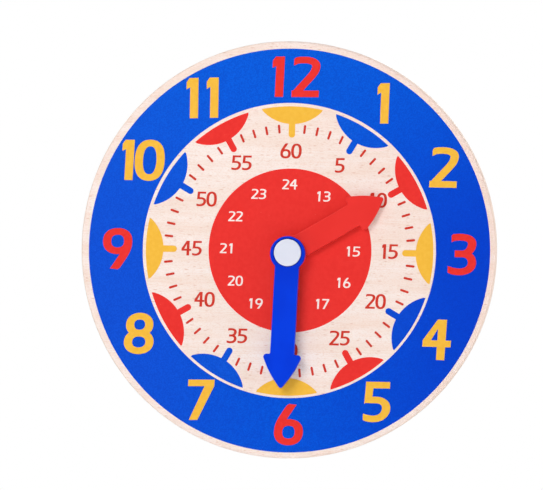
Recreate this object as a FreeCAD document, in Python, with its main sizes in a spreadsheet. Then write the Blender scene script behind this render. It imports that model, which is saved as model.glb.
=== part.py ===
import FreeCAD, Part
import os
import re
import Sketcher
from fcgear import fcgear, involute

# A geared teaching clock that hangs on a wall. Millimetres.
#
# X points to 3 o'clock, Z to 12 o'clock, and the dial faces -Y. The origin is where the
# dial's axis meets the wall, so every depth is a distance forward from the wall, along -Y.
# A turn about Y is clockwise for someone who faces the dial.

# ------------------------------------------------------------------ driving sizes

SIZES = {
    # dial board: a disc of beech-faced plywood, bored a little below and right of its centre
    "board_radius": 100.0,
    "board_thick": 7.0,
    "board_edge_round": 0.9,
    "board_rise": 1.45,
    "board_side": 0.45,
    # clearances
    "end_play": 0.1,
    "running_gap": 0.05,
    "screw_play": 0.2,
    "mesh_slack": 0.15,
    "gear_room": 1.2,
    # arbors
    "arbor_radius": 1.5,
    "tube_wall": 1.45,
    # bushes
    "bush_wall": 1.45,
    "flange_radius": 6.5,
    "flange_thick": 1.0,
    "rear_bush_wall": 1.25,
    "rear_bush_seat": 1.6,
    "rear_bush_proud": 1.2,
    # washers between the moving pieces in front
    "washer_thick": 0.5,
    "washer_wall": 3.4,
    # hands: each side of the arrow head bows out between its barb and the tip
    "hour_hand_thick": 2.0,
    "minute_hand_thick": 3.0,
    "hub_radius": 8.4,
    "hub_shift": 0.5,
    "shaft_half_width": 5.75,
    "barb_half_width": 9.75,
    "barb_round": 1.5,
    "bow_half_width": 5.8,
    "bow_rise": 9.0,
    "bow_round": 46.0,
    "tip_round": 1.0,
    "neck_round": 0.65,
    "hand_edge_round": 0.45,
    "minute_reach": 65.5,
    "hour_reach": 53.1,
    "head_length": 16.7,
    "minute_angle": 181.9,
    "hour_angle": 59.0,
    # cup in the minute hand's hub, and what it holds
    "cup_floor": 1.2,
    "cup_wall": 1.8,
    "cap_wall": 0.9,
    "cap_proud": 0.3,
    "cap_crown": 0.3,
    "cap_edge_round": 0.3,
    "hand_screw_head_radius": 2.5,
    "hand_screw_head": 1.1,
    "hand_screw_radius": 0.8,
    "hand_screw_length": 5.0,
    # gears
    "tooth_module": 0.8,
    "pressure_angle": 20.0,
    "tooth_shift": 0.3,
    "cannon_teeth": 15.0,
    "minute_wheel_teeth": 45.0,
    "idler_pinion_teeth": 12.0,
    "hour_wheel_teeth": 48.0,
    "face_width": 3.0,
    "web_recess": 1.0,
    "hub_wall": 2.4,
    "rim_depth": 3.6,
    "window_radius": 2.6,
    "window_count": 6.0,
    # gear case: a tray behind the board, closed by a clear cover
    "cover_thick": 2.4,
    "case_wall": 1.8,
    "case_floor": 1.8,
    "case_corner": 5.0,
    "side_room": 5.4,
    "rear_gap": 1.8,
    "plane_gap": 0.6,
    "front_gap": 0.4,
    "cover_edge_round": 0.8,
    # keyhole in the cover
    "keyhole_radius": 4.0,
    "keyhole_slot_half": 2.1,
    "keyhole_rise": 8.0,
    "keyhole_margin": 2.0,
    # screws that hold the cover on the case
    "cover_screw_radius": 1.1,
    "cover_screw_head_radius": 2.3,
    "cover_screw_head": 1.3,
    "cover_screw_length": 8.0,
    "boss_wall": 2.1,
    # wood screws that hold the case on the board
    "case_screw_radius": 1.3,
    "case_screw_head_radius": 2.8,
    "case_screw_head": 1.8,
    "case_screw_bite": 5.2,
    "case_screw_rise": 12.0,
    "case_screw_drop": 9.0,
    "case_screw_inset": 0.6,
    # cross recess in every screw head
    "recess_width": 0.6,
    "recess_depth": 0.7,
    "recess_rim": 1.0,
    # idler stud
    "stud_socket": 1.2,
    "stud_collar_wall": 1.1,
    "clip_wall": 1.9,
    "clip_thick": 0.5,
    "clip_mouth": 1.5,
    # friction spring: a bowed washer round the rear bush
    "spring_play": 0.2,
    "spring_wall": 2.0,
    "spring_thick": 0.25,
}

# Points this near each other count as one.
TOUCH = 1e-6

# Sizes and places that follow from the driving sizes. Those that end in _at are
# distances forward from the wall.
PLACES = {
    "pitch_distance": "tooth_module * (cannon_teeth + minute_wheel_teeth) / 2 + mesh_slack",
    "hour_tip_radius": "tooth_module * (hour_wheel_teeth / 2 + 1 - tooth_shift)",
    "minute_tip_radius": "tooth_module * (minute_wheel_teeth / 2 + 1 - tooth_shift)",
    "arbor_bore": "arbor_radius + running_gap",
    "tube_radius": "arbor_bore + tube_wall",
    "bush_bore": "tube_radius + running_gap",
    "bush_radius": "bush_bore + bush_wall",
    "rear_bush_radius": "arbor_bore + rear_bush_wall",
    "cup_radius": "hub_radius - cup_wall",
    "cup_depth": "minute_hand_thick - cup_floor",
    "cap_radius": "cup_radius - end_play",
    "cap_height": "cup_depth + cap_proud",
    "drive_at": "cover_thick + rear_gap",
    "hour_wheel_at": "drive_at + face_width + plane_gap",
    "wheels_end_at": "hour_wheel_at + face_width",
    "floor_at": "wheels_end_at + front_gap",
    "board_at": "floor_at + case_floor",
    "flange_at": "board_at + board_thick",
    "hour_washer_at": "flange_at + flange_thick",
    "hour_hand_at": "hour_washer_at + washer_thick + end_play",
    "hand_washer_at": "hour_hand_at + hour_hand_thick",
    "minute_hand_at": "hand_washer_at + washer_thick + end_play",
    "cup_floor_at": "minute_hand_at + cup_floor",
    "case_half_width": "hour_tip_radius + side_room + case_wall",
    "dust_wall_z": "hour_tip_radius + gear_room",
    "keyhole_z": "dust_wall_z + case_wall + keyhole_margin + keyhole_radius",
    "slot_end_z": "keyhole_z + keyhole_rise",
    "case_top_z": "slot_end_z + keyhole_radius + keyhole_margin + case_wall",
    "case_bottom_z": "-(pitch_distance + minute_tip_radius + gear_room + case_wall)",
    "boss_radius": "cover_screw_radius + boss_wall",
    "boss_inset": "boss_radius + gear_room",
    "case_screw_x": "case_half_width - case_wall - case_screw_head_radius - case_screw_inset",
}


def in_full(text):
    """Write out a formula: places in their own formulas, and sizes as cells of the sheet."""
    def word_in_full(match):
        word = match.group()
        if word in PLACES:
            return f"({in_full(PLACES[word])})"
        return f"Sizes.{word}" if word in SIZES else word

    return re.sub(r"[a-z_]+", word_in_full, text)


def fill_sheet():
    """Put every driving size into the spreadsheet, with its name as the cell's alias."""
    sheet = doc.addObject("Spreadsheet::Sheet", "Sizes")
    for row, (name, value) in enumerate(SIZES.items(), start=1):
        sheet.set(f"A{row}", name.replace("_", " "))
        sheet.set(f"B{row}", str(value))
        sheet.setAlias(f"B{row}", name)
    doc.recompute()


def bind(thing, **formulas):
    """Tie properties to the sheet; __ in a property's name stands for a dot."""
    for name, text in formulas.items():
        thing.setExpression(name.replace("__", "."), in_full(text))


# ------------------------------------------------------------------ bodies and sketches

def new_body(label):
    """An empty body that is turned about the dial's axis."""
    body = doc.addObject("PartDesign::Body", label)
    body.Placement.Rotation = FreeCAD.Rotation(FreeCAD.Vector(0, 1, 0), 0)
    return body


def lay_flat(outline, body, at):
    """Attach an outline parallel to the dial, at a distance forward from the wall."""
    plane = [item for item in body.Origin.OriginFeatures if item.Role == "XZ_Plane"][0]
    outline.AttachmentSupport = [(plane, "")]
    outline.MapMode = "FlatFace"
    outline.setExpression(".AttachmentOffset.Base.z", in_full(at))


def tie_point(sketch, geometry, point, x, z):
    """Hold a point of the sketch at two formulas."""
    for kind, text in (("DistanceX", x), ("DistanceY", z)):
        value = float(sketch.evalExpression(in_full(text)))
        index = sketch.addConstraint(Sketcher.Constraint(kind, geometry, point, value))
        sketch.setExpression(f"Constraints[{index}]", in_full(text))


def circles(body, at, *rounds):
    """A sketch of circles, each a radius and, if it is off the axis, its x and z."""
    sketch = body.newObject("Sketcher::SketchObject", f"{body.Label}_circles")
    lay_flat(sketch, body, at)
    for radius, *centre in rounds:
        value = float(sketch.evalExpression(in_full(radius)))
        index = sketch.addGeometry(Part.Circle(FreeCAD.Vector(), FreeCAD.Vector(0, 0, 1), value))
        tie_point(sketch, index, 3, *(centre or ("0", "0")))
        rule = sketch.addConstraint(Sketcher.Constraint("Radius", index, value))
        sketch.setExpression(f"Constraints[{rule}]", in_full(radius))
    return sketch


def polygon(body, at, corners):
    """A closed sketch of straight sides through corners given as formulas of x and z."""
    sketch = body.newObject("Sketcher::SketchObject", f"{body.Label}_outline")
    lay_flat(sketch, body, at)
    spots = [[float(sketch.evalExpression(in_full(text))) for text in corner] for corner in corners]
    spots = [FreeCAD.Vector(x, z, 0) for x, z in spots]
    sides = zip(spots, spots[1:] + spots[:1])
    sketch.addGeometry([Part.LineSegment(start, end) for start, end in sides])
    for index, (x, z) in enumerate(corners):
        before = (index - 1) % len(corners)
        sketch.addConstraint(Sketcher.Constraint("Coincident", index, 1, before, 2))
        tie_point(sketch, index, 1, x, z)
    return sketch


def rectangle(body, at, half_width, bottom, top):
    """A sketch of a rectangle that is symmetrical about the dial's upright centre line."""
    left = f"-({half_width})"
    return polygon(body, at, [(left, bottom), (half_width, bottom), (half_width, top), (left, top)])


def pad(body, sketch, length):
    """Add material forward from a sketch."""
    feature = body.newObject("PartDesign::Pad", f"{body.Label}_pad")
    feature.Profile = sketch
    bind(feature, Length=length)
    doc.recompute()
    return feature


def cut(body, sketch, length):
    """Take material away forward from a sketch."""
    before = body.Shape.Volume
    feature = body.newObject("PartDesign::Pocket", f"{body.Label}_cut")
    feature.Profile = sketch
    feature.Reversed = True
    bind(feature, Length=length)
    doc.recompute()
    if body.Shape.Volume > before - TOUCH:
        raise ValueError(f"a cut in {body.Label} takes nothing away")
    return feature


def rounding(body, radius, chosen):
    """Round the edges of a body that a test picks."""
    edges = [f"Edge{n}" for n, edge in enumerate(body.Shape.Edges, start=1) if chosen(edge)]
    if not edges:
        raise ValueError(f"no edge of {body.Label} to round")
    base = body.Tip
    feature = body.newObject("PartDesign::Fillet", f"{body.Label}_rounding")
    feature.Base = (base, edges)
    bind(feature, Radius=radius)
    doc.recompute()
    return feature


def value_of(text):
    """The number that a formula gives."""
    return float(doc.getObject("Sizes").evalExpression(in_full(text)))


def runs_forward(edge):
    """True for an edge that is square to the dial."""
    box = edge.BoundBox
    return box.XLength < TOUCH and box.ZLength < TOUCH


def off_centre(edge):
    """How far an edge that is square to the dial lies from the upright centre line."""
    return abs(edge.BoundBox.XMin)


def lies_at(edge, at):
    """True for an edge that lies in the plane at a distance forward from the wall."""
    box = edge.BoundBox
    return abs(box.YMin + at) < TOUCH and abs(box.YMax + at) < TOUCH


def is_round(edge, radius):
    """True for a circle of this radius."""
    return isinstance(edge.Curve, Part.Circle) and abs(edge.Curve.Radius - radius) < TOUCH


# ------------------------------------------------------------------ rods and rings

def rod(name, radius, length, at, x="0", z="0"):
    """A cylinder that runs forward from a distance in front of the wall."""
    piece = doc.addObject("Part::Cylinder", name)
    piece.Placement.Rotation = FreeCAD.Rotation(FreeCAD.Vector(1, 0, 0), 90)
    bind(piece, Radius=radius, Height=length)
    bind(piece, Placement__Base__x=x, Placement__Base__y=f"-({at})", Placement__Base__z=z)
    return piece


def ring(name, outer, inner, length, at):
    """A plain ring round the dial's axis."""
    whole = rod(f"{name}_disc", outer, length, at)
    hole = rod(f"{name}_hole", inner, length, at)
    return without(name, whole, hole)


def without(name, base, tool):
    """What is left of one piece when another is taken from it."""
    piece = doc.addObject("Part::Cut", name)
    piece.Base = base
    piece.Tool = tool
    return piece


def joined(name, *pieces):
    """Several pieces as one solid."""
    piece = doc.addObject("Part::MultiFuse", name)
    piece.Shapes = list(pieces)
    return piece


def common(name, *pieces):
    """What several pieces have in common."""
    piece = doc.addObject("Part::MultiCommon", name)
    piece.Shapes = list(pieces)
    return piece


# ------------------------------------------------------------------ dial board and bush

def make_dial_board():
    """The plywood disc, with its rim eased, a bore for the bush and four pilot holes."""
    board = new_body("dial_board")
    outline = circles(board, "board_at", ("board_radius", "-board_side", "board_rise"))
    pad(board, outline, "board_thick")
    radius = value_of("board_radius")
    rounding(board, "board_edge_round", lambda edge: is_round(edge, radius))
    cut(board, circles(board, "board_at", ("bush_radius",)), "board_thick")
    holes = [("case_screw_radius", x, z) for x, z in case_screw_places()]
    cut(board, circles(board, "board_at", *holes), "case_screw_bite + screw_play")
    return board


def make_centre_bush():
    """The flanged bush: its sleeve passes the board and the case and ends at the hour wheel."""
    sleeve_at = "wheels_end_at + end_play"
    sleeve = ring("bush_sleeve", "bush_radius", "bush_bore", f"flange_at - ({sleeve_at})", sleeve_at)
    flange = ring("bush_flange", "flange_radius", "bush_bore", "flange_thick", "flange_at")
    return joined("centre_bush", sleeve, flange)


def make_washers():
    """One washer stays on the bush under the hour hand, and one turns with the hour hand."""
    under = ring("hour_washer", "bush_bore + washer_wall", "bush_bore", "washer_thick", "hour_washer_at")
    between = ring("hand_washer", "arbor_bore + washer_wall", "arbor_bore", "washer_thick",
                   "hand_washer_at")
    return [under, between]


# ------------------------------------------------------------------ hands

def flat_hand(label, at, reach, thick):
    """A flat moulded hand that points up: a hub, a straight shaft and an arrow head."""
    hand = new_body(label)
    neck = f"{reach} - head_length"
    right = [("shaft_half_width", "0"), ("shaft_half_width", neck), ("barb_half_width", neck),
             ("bow_half_width", f"{neck} + bow_rise")]
    left = [(f"-{x}", z) for x, z in reversed(right)]
    pad(hand, polygon(hand, at, [*right, ("0", reach), *left]), thick)
    pad(hand, circles(hand, at, ("hub_radius", "0", "hub_shift")), thick)
    for radius, half_width in (("barb_round", "barb_half_width"), ("bow_round", "bow_half_width"),
                               ("neck_round", "shaft_half_width"), ("tip_round", "0")):
        off = value_of(half_width)
        rounding(hand, radius, lambda edge: runs_forward(edge) and abs(off_centre(edge) - off) < TOUCH)
    return hand


def round_front(piece, radius, at):
    """Round the edges of a piece that lie in the plane at a distance forward from the wall."""
    front = value_of(at)
    rounding(piece, radius, lambda edge: lies_at(edge, front))


def make_hour_hand():
    """The hour hand, pressed on the hour wheel's tube."""
    hand = flat_hand("hour_hand", "hour_hand_at", "hour_reach", "hour_hand_thick")
    round_front(hand, "hand_edge_round", "hand_washer_at")
    cut(hand, circles(hand, "hour_hand_at", ("tube_radius",)), "hour_hand_thick")
    bind(hand, Placement__Rotation__Angle="hour_angle")
    return hand


def make_minute_hand():
    """The minute hand: its hub is a cup with a rounded mouth, and the arbor passes its floor."""
    hand = flat_hand("minute_hand", "minute_hand_at", "minute_reach", "minute_hand_thick")
    cut(hand, circles(hand, "cup_floor_at", ("cup_radius",)), "cup_depth")
    round_front(hand, "hand_edge_round", "minute_hand_at + minute_hand_thick")
    cut(hand, circles(hand, "minute_hand_at", ("arbor_radius",)), "cup_floor")
    bind(hand, Placement__Rotation__Angle="minute_angle")
    return hand


def make_hub_cap():
    """The snap-in cap: a low crown with a rounded rim, on a skirt that stands in the cup."""
    crown_radius = "((cap_radius ^ 2 + cap_crown ^ 2) / (2 * cap_crown))"
    block = rod("cap_block", "cap_radius", "cap_height + cap_crown", "cup_floor_at")
    ball = doc.addObject("Part::Sphere", "cap_crown_ball")
    ball_at = f"cup_floor_at + cap_height + cap_crown - {crown_radius}"
    bind(ball, Radius=crown_radius, Placement__Base__y=f"-({ball_at})")
    cap = new_body("hub_cap")
    cap.BaseFeature = common("cap_domed", block, ball)
    doc.recompute()
    round_front(cap, "cap_edge_round", "cup_floor_at + cap_height")
    hollow = circles(cap, "cup_floor_at", ("cap_radius - cap_wall",))
    cut(cap, hollow, "cap_height - cap_wall")
    return cap


# ------------------------------------------------------------------ arbors, studs and screws

def make_minute_arbor():
    """The steel arbor, from the rear bush to the cup's floor, bored for the hand's screw."""
    start = "cover_thick - rear_bush_seat + end_play"
    steel = rod("arbor_steel", "arbor_radius", f"cup_floor_at - ({start})", start)
    hole_at = "cup_floor_at - hand_screw_length"
    hole = rod("arbor_thread", "hand_screw_radius", "hand_screw_length", hole_at)
    return without("minute_arbor", steel, hole)


def make_idler_stud():
    """The stud: pressed into the case's floor up to its collar, and held by the cover."""
    start = "cover_thick - stud_socket + end_play"
    drop = "-pitch_distance"
    stem = rod("stud_stem", "arbor_radius", f"board_at - ({start})", start, z=drop)
    collar_at = "wheels_end_at + end_play"
    collar_length = f"floor_at - ({collar_at})"
    collar = rod("stud_collar", "arbor_radius + stud_collar_wall", collar_length, collar_at, z=drop)
    return joined("idler_stud", stem, collar)


def make_idler_clip():
    """The push-on ring behind the minute wheel, open at one side."""
    at = "drive_at - screw_play - clip_thick"
    disc = rod("clip_disc", "arbor_radius + clip_wall", "clip_thick", at, z="-pitch_distance")
    hole = rod("clip_hole", "arbor_radius", "clip_thick", at, z="-pitch_distance")
    slot = doc.addObject("Part::Box", "clip_slot")
    bind(slot, Length="clip_mouth", Width="clip_thick", Height="arbor_radius + clip_wall")
    bind(slot, Placement__Base__x="-clip_mouth / 2", Placement__Base__y=f"-({at} + clip_thick)")
    bind(slot, Placement__Base__z="-(pitch_distance + arbor_radius + clip_wall)")
    return without("idler_clip", without("clip_ring", disc, hole), slot)


def screw(name, radius, length, head_radius, head, seat_at, x="0", z="0", heads_back=True):
    """A round-headed screw with a cross recess. Its head's underside is at seat_at."""
    head_at = f"({seat_at}) - ({head})" if heads_back else seat_at
    shank_at = seat_at if heads_back else f"({seat_at}) - ({length})"
    recess_at = head_at if heads_back else f"({seat_at}) + {head} - recess_depth"
    body = joined(f"{name}_body", rod(f"{name}_shank", radius, length, shank_at, x, z),
                  rod(f"{name}_head", head_radius, head, head_at, x, z))
    long_side = f"2 * ({head_radius} - recess_rim)"
    arms = []
    for way, wide, tall in (("across", long_side, "recess_width"), ("upright", "recess_width", long_side)):
        arm = doc.addObject("Part::Box", f"{name}_{way}")
        bind(arm, Length=wide, Height=tall, Width="recess_depth")
        bind(arm, Placement__Base__x=f"({x}) - ({wide}) / 2", Placement__Base__z=f"({z}) - ({tall}) / 2")
        bind(arm, Placement__Base__y=f"-({recess_at} + recess_depth)")
        arms.append(arm)
    return without(name, body, joined(f"{name}_recess", *arms))


def make_hand_screw():
    """The screw that clamps the minute hand on the arbor, under the cap."""
    return screw("hand_screw", "hand_screw_radius", "hand_screw_length", "hand_screw_head_radius",
                 "hand_screw_head", "cup_floor_at", heads_back=False)


def case_screw_places():
    """Two wood screws above the dial's axis and two below the idler's."""
    heights = ("case_screw_rise", "-(pitch_distance + case_screw_drop)")
    return [(side, height) for height in heights for side in ("-case_screw_x", "case_screw_x")]


def cover_screw_places():
    """A screw in each corner of the case."""
    side = "(case_half_width - boss_inset)"
    heights = ("case_top_z - boss_inset", "case_bottom_z + boss_inset")
    return [(x, height) for height in heights for x in (f"-{side}", side)]


def screw_set(label, places, radius, length, head_radius, head, seat_at):
    """Like screws in one node, one at each place."""
    screws = [screw(f"{label}_{number}", radius, length, head_radius, head, seat_at, x, z)
              for number, (x, z) in enumerate(places, start=1)]
    group = doc.addObject("Part::Compound", label)
    group.Links = screws
    return group


def make_case_screws():
    """Wood screws from inside the case into the board."""
    return screw_set("case_screws", case_screw_places(), "case_screw_radius",
                     "case_floor + case_screw_bite", "case_screw_head_radius", "case_screw_head",
                     "floor_at")


def make_cover_screws():
    """Screws whose heads lie flush in the cover's counterbores."""
    return screw_set("cover_screws", cover_screw_places(), "cover_screw_radius", "cover_screw_length",
                     "cover_screw_head_radius", "cover_screw_head", "cover_screw_head + end_play")


# ------------------------------------------------------------------ gears

class ToothOutline:
    """A closed involute outline that follows its own properties."""

    def __init__(self, outline):
        outline.addProperty("App::PropertyFloat", "Teeth")
        outline.addProperty("App::PropertyFloat", "ToothModule")
        outline.addProperty("App::PropertyFloat", "PressureAngle")
        outline.addProperty("App::PropertyFloat", "Shift")
        outline.Proxy = self

    def execute(self, outline):
        builder = fcgear.FCWireBuilder()
        teeth = round(outline.Teeth)
        involute.CreateExternalGear(builder, outline.ToothModule, teeth, outline.PressureAngle,
                                    shiftCoeff=outline.Shift)
        outline.Shape = Part.Wire([curve.toShape() for curve in builder.wire])


def toothed(body, at, teeth, shift, length, turn):
    """Pad a toothed outline. A tooth points to 3 o'clock, turned on anticlockwise by the turn."""
    outline = body.newObject("Part::Part2DObjectPython", f"{body.Label}_teeth")
    ToothOutline(outline)
    lay_flat(outline, body, at)
    bind(outline, Teeth=teeth, ToothModule="tooth_module", PressureAngle="pressure_angle", Shift=shift)
    outline.setExpression(".AttachmentOffset.Rotation.Angle", in_full(turn))
    return pad(body, outline, length)


def web_and_windows(wheel, at, teeth, hub_radius):
    """Thin the wheel's web from behind and open round windows in it."""
    rim = f"(tooth_module * ({teeth}) / 2 - rim_depth)"
    hollow = circles(wheel, at, (rim,), (hub_radius,))
    cut(wheel, hollow, "web_recess")
    middle = f"(({rim} + {hub_radius}) / 2)"
    first = cut(wheel, circles(wheel, at, ("window_radius", "0", middle)), "face_width")
    pattern = wheel.newObject("PartDesign::PolarPattern", f"{wheel.Label}_windows")
    pattern.Originals = [first]
    axis = [item for item in wheel.Origin.OriginFeatures if item.Role == "Y_Axis"][0]
    pattern.Axis = (axis, [""])
    pattern.Angle = 360
    bind(pattern, Occurrences="window_count")
    wheel.Tip = pattern
    doc.recompute()


def make_hour_wheel():
    """The hour wheel and its tube, which carries the hour hand. A gap faces the idler."""
    wheel = new_body("hour_wheel")
    toothed(wheel, "hour_wheel_at", "hour_wheel_teeth", "-tooth_shift", "face_width",
            "-90 - 180 / hour_wheel_teeth")
    web_and_windows(wheel, "hour_wheel_at", "hour_wheel_teeth", "tube_radius + hub_wall")
    pad(wheel, circles(wheel, "hour_wheel_at", ("tube_radius",)), "hand_washer_at - (hour_wheel_at)")
    cut(wheel, circles(wheel, "hour_wheel_at", ("arbor_bore",)), "hand_washer_at - (hour_wheel_at)")
    return wheel


def make_cannon_pinion():
    """The pinion on the minute arbor, with a shoulder against the hour wheel. A tooth points down."""
    pinion = new_body("cannon_pinion")
    toothed(pinion, "drive_at", "cannon_teeth", "tooth_shift", "face_width", "-90")
    shoulder = circles(pinion, "drive_at + face_width", ("arbor_radius + hub_wall / 2",))
    pad(pinion, shoulder, "plane_gap - end_play")
    cut(pinion, circles(pinion, "drive_at", ("arbor_radius",)), "face_width + plane_gap")
    return pinion


def make_minute_wheel():
    """The idler: a wheel and a pinion in one moulding, below the dial's axis."""
    wheel = new_body("minute_wheel")
    toothed(wheel, "drive_at", "minute_wheel_teeth", "-tooth_shift", "face_width",
            "90 - 180 / minute_wheel_teeth")
    web_and_windows(wheel, "drive_at", "minute_wheel_teeth", "arbor_bore + 2 * hub_wall")
    toothed(wheel, "drive_at + face_width", "idler_pinion_teeth", "tooth_shift",
            "plane_gap + face_width", "90")
    cut(wheel, circles(wheel, "drive_at", ("arbor_bore",)), "2 * face_width + plane_gap")
    bind(wheel, Placement__Base__z="-pitch_distance")
    return wheel


# ------------------------------------------------------------------ gear case and what it seats

def make_gear_case():
    """The tray behind the board: bosses in its corners and a wall that shuts off the keyhole."""
    case = new_body("gear_case")
    rear, depth = "cover_thick", "floor_at - cover_thick"
    outer = rectangle(case, rear, "case_half_width", "case_bottom_z", "case_top_z")
    pad(case, outer, f"{depth} + case_floor")
    rounding(case, "case_corner", runs_forward)
    inner = rectangle(case, rear, "case_half_width - case_wall", "case_bottom_z + case_wall",
                      "case_top_z - case_wall")
    cut(case, inner, depth)
    half = value_of("case_half_width - case_wall")
    rounding(case, "case_corner - case_wall",
             lambda edge: runs_forward(edge) and abs(off_centre(edge) - half) < TOUCH)
    bosses = [("boss_radius", x, z) for x, z in cover_screw_places()]
    pad(case, circles(case, rear, *bosses), depth)
    dust_wall = rectangle(case, rear, "case_half_width - case_wall / 2", "dust_wall_z",
                          "dust_wall_z + case_wall")
    pad(case, dust_wall, depth)
    threads = [("cover_screw_radius", x, z) for x, z in cover_screw_places()]
    cut(case, circles(case, rear, *threads), "cover_screw_length + screw_play")
    holes = [("case_screw_radius + screw_play", x, z) for x, z in case_screw_places()]
    holes += [("bush_radius",), ("arbor_radius", "0", "-pitch_distance")]
    cut(case, circles(case, "floor_at", *holes), "case_floor")
    return case


def make_case_cover():
    """The clear cover: counterbored corners, two blind seats inside, and the keyhole."""
    cover = new_body("case_cover")
    pad(cover, rectangle(cover, "0", "case_half_width", "case_bottom_z", "case_top_z"), "cover_thick")
    rounding(cover, "case_corner", runs_forward)
    rounding(cover, "cover_edge_round", lambda edge: lies_at(edge, 0))
    places = cover_screw_places()
    heads = [("cover_screw_head_radius + screw_play", x, z) for x, z in places]
    cut(cover, circles(cover, "0", *heads), "cover_screw_head + end_play")
    shanks = [("cover_screw_radius + screw_play", x, z) for x, z in places]
    cut(cover, circles(cover, "0", *shanks), "cover_thick")
    cut(cover, circles(cover, "cover_thick - rear_bush_seat", ("rear_bush_radius",)), "rear_bush_seat")
    stud_seat = circles(cover, "cover_thick - stud_socket", ("arbor_bore", "0", "-pitch_distance"))
    cut(cover, stud_seat, "stud_socket")
    cut(cover, circles(cover, "0", ("keyhole_radius", "0", "keyhole_z")), "cover_thick")
    cut(cover, rectangle(cover, "0", "keyhole_slot_half", "keyhole_z", "slot_end_z"), "cover_thick")
    cut(cover, circles(cover, "0", ("keyhole_slot_half", "0", "slot_end_z")), "cover_thick")
    return cover


def make_rear_bush():
    """The plain bush in the cover that carries the arbor's rear end."""
    return ring("rear_bush", "rear_bush_radius", "arbor_bore", "rear_bush_seat + rear_bush_proud",
                "cover_thick - rear_bush_seat")


def make_friction_spring():
    """The bowed washer: a flat ring's outline in a sheet that is bent about X."""
    inner = "(rear_bush_radius + spring_play)"
    outer = f"({inner} + spring_wall)"
    bow = "(rear_gap - end_play - spring_thick)"
    bend = f"(({outer} ^ 2 + {bow} ^ 2) / (2 * {bow}))"
    outline = ring("spring_outline", outer, inner, "rear_gap", "cover_thick")
    shells = []
    for name, radius in (("spring_outside", f"{bend} + spring_thick"), ("spring_inside", bend)):
        shell = doc.addObject("Part::Cylinder", name)
        shell.Placement.Rotation = FreeCAD.Rotation(FreeCAD.Vector(0, 1, 0), 90)
        bind(shell, Radius=radius, Height=f"4 * {outer}", Placement__Base__x=f"-2 * {outer}")
        bind(shell, Placement__Base__y=f"-(cover_thick + {bow} - {bend})")
        shells.append(shell)
    return common("friction_spring", outline, without("spring_sheet", *shells))


# ------------------------------------------------------------------ the clock

def make_clock():
    """Every piece of the clock, from the wall forward."""
    return [
        make_case_cover(), make_cover_screws(), make_rear_bush(), make_friction_spring(),
        make_idler_clip(), make_minute_wheel(), make_cannon_pinion(), make_hour_wheel(),
        make_idler_stud(), make_gear_case(), make_case_screws(), make_dial_board(),
        make_centre_bush(), make_minute_arbor(), *make_washers(), make_hour_hand(),
        make_minute_hand(), make_hand_screw(), make_hub_cap(),
    ]


def check(parts):
    """Stop if any object failed or any part has no valid solid."""
    for thing in doc.Objects:
        if "Invalid" in thing.State or "Error" in thing.State:
            raise ValueError(f"{thing.Label} failed: {thing.State}")
    for part in parts:
        if part.Shape.isNull() or not part.Shape.isValid() or not part.Shape.Solids:
            raise ValueError(f"{part.Label} has no valid shape")


doc = FreeCAD.newDocument("teaching_clock")
fill_sheet()
clock = make_clock()
doc.recompute()
check(clock)
os.makedirs("parts", exist_ok=True)
for piece in clock:
    piece.Shape.exportStep(f"parts/{piece.Label}.step")
    print(f"{piece.Label}: {len(piece.Shape.Solids)} solid(s), {piece.Shape.Volume:.1f} mm3")
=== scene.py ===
"""A geared teaching clock that hangs on a wall: its looks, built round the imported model.

The frame is the model's own: +X to 3 o'clock, +Z to 12 o'clock, and the dial faces -Y.
Meshes and nodes take metres, and the sizes written below are millimetres unless they say not.
"""
import math
import bpy
import numpy as np
from mathutils import Matrix, Vector
from mathutils.geometry import delaunay_2d_cdt


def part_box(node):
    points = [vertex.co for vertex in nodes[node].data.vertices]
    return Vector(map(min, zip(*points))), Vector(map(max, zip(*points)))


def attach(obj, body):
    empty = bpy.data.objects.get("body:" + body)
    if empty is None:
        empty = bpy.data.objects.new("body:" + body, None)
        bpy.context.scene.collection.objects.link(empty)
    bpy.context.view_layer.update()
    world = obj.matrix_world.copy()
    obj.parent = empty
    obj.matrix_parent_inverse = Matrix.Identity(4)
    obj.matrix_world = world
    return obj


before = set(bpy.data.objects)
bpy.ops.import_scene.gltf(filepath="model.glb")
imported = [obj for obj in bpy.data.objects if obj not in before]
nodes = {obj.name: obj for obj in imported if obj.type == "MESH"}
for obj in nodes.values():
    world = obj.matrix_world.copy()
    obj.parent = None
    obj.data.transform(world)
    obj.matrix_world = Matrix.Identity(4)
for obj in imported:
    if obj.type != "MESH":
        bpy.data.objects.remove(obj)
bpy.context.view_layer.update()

# ------------------------------------------------------------------ dial board
# A disc of beech plywood, 7 mm thick, in five plies of 1.4 mm whose grain runs across and
# upright in turn. It is cut to a disc, its edges are sanded round and it is thinly varnished.

MM = 0.001
PLIES = 5
BOARD_LOW, BOARD_HIGH = (np.array(corner)/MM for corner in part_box("dial_board"))
BOARD_CENTRE = (BOARD_LOW + BOARD_HIGH)/2
BOARD_RADIUS = BOARD_HIGH[0] - BOARD_CENTRE[0]
BOARD_FACE = BOARD_LOW[1]
BOARD_THICK = BOARD_HIGH[1] - BOARD_LOW[1]
PLY = BOARD_THICK/PLIES
NUDGE = 0.001  # keeps the board's face itself in the first ply
EDGE_SHOWS = 0.6

# How long the patches of the wood's patterns are in x, y and z.
STREAK = (14.0, 3.0, 0.5)
CLOUD = (50.0, 50.0, 6.0)
WANDER = (40.0, 40.0, 12.0)
WANDER_BY = 4.0  # how far the grain wanders up and down
FLECK_CELL = (3.2, 0.8, 1.0)
FLECK_SLOPE = 0.03  # how much the rows of flecks fall to the right
NEXT_NET = 9.0  # how far it is from one ply's net of flecks to the next ply's
PORE = (0.9, 0.9, 0.35)
END_PORE = (0.35, 0.35, 0.35)


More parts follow.
